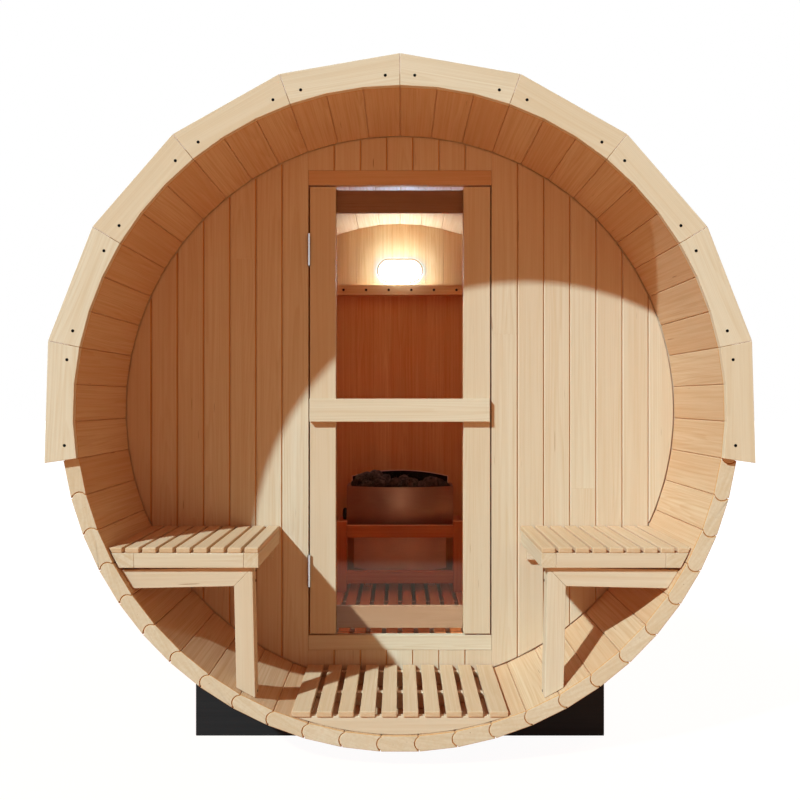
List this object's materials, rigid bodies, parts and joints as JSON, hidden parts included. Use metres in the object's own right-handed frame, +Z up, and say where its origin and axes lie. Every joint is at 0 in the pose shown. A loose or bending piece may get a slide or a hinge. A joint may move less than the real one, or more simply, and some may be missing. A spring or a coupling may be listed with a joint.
{
  "type": "barrel sauna",
  "caption": "Barrel sauna of coved wooden staves on black cradles, with an open porch, slatted benches, a glazed door with a wide handle board and a heater behind a guard rail.",
  "frame": {"origin": "on the ground, under the middle of the barrel", "axes": "+Z up, +Y from the porch to the back wall along the barrel's axis, +X to the right seen from the front"},
  "size_m": [1.8688, 1.836, 1.899],
  "materials": {
    "pine": "matte",
    "pale_pine": "matte",
    "black_stain": "matte",
    "band_steel": "satin",
    "hinge_steel": "satin",
    "bronze_glass": "gloss",
    "heater_steel": "satin",
    "black_plastic": "satin",
    "stones": "matte",
    "lamp_frame": "satin",
    "lamp_opal": "satin"
  },
  "bodies": {
    "barrel": {"bottom_staves": "pine", "left_lower_staves": "pine", "left_upper_staves": "pine", "right_upper_staves": "pine", "right_lower_staves": "pine", "steel_bands": "band_steel", "front_trim": "pale_pine", "rear_trim": "pale_pine", "front_cradle": "black_stain", "rear_cradle": "black_stain", "front_wall_left": "pine", "front_wall_right": "pine", "front_wall_over_door": "pine", "front_wall_under_door": "pine", "door_header": "pine", "door_sill": "pine", "door_stops": "pine", "back_wall": "pine", "back_wall_rail": "pine", "wall_hinge_leaves": "hinge_steel", "porch_floor_slats": "pale_pine", "porch_floor_bearers": "pine", "cabin_floor_slats": "pale_pine", "cabin_floor_bearers": "pine", "left_bench_seat": "pale_pine", "left_bench_frame": "pine", "left_bench_leg": "pine", "right_bench_seat": "pale_pine", "right_bench_frame": "pine", "right_bench_leg": "pine", "heater_casing": "heater_steel", "heater_base": "heater_steel", "heater_shield": "heater_steel", "heater_dial": "black_plastic", "heater_stones": "stones", "heater_guard": "pine", "lamp_base": "lamp_frame", "lamp_glass": "lamp_opal"},
    "door": {"door_hinge_leaves": "hinge_steel", "door_hinge_stile": "pine", "door_free_stile": "pine", "door_top_rail": "pine", "door_bottom_rail": "pine", "door_glass": "bronze_glass", "door_handle": "pale_pine"}
  },
  "joints": [
    {"name": "door_hinge", "type": "hinge", "parent": "barrel", "child": "door", "pos_m": [-0.2845, -0.506, 0.955], "axis": [0, 0, -1], "range_deg": [0, 100]}
  ]
}
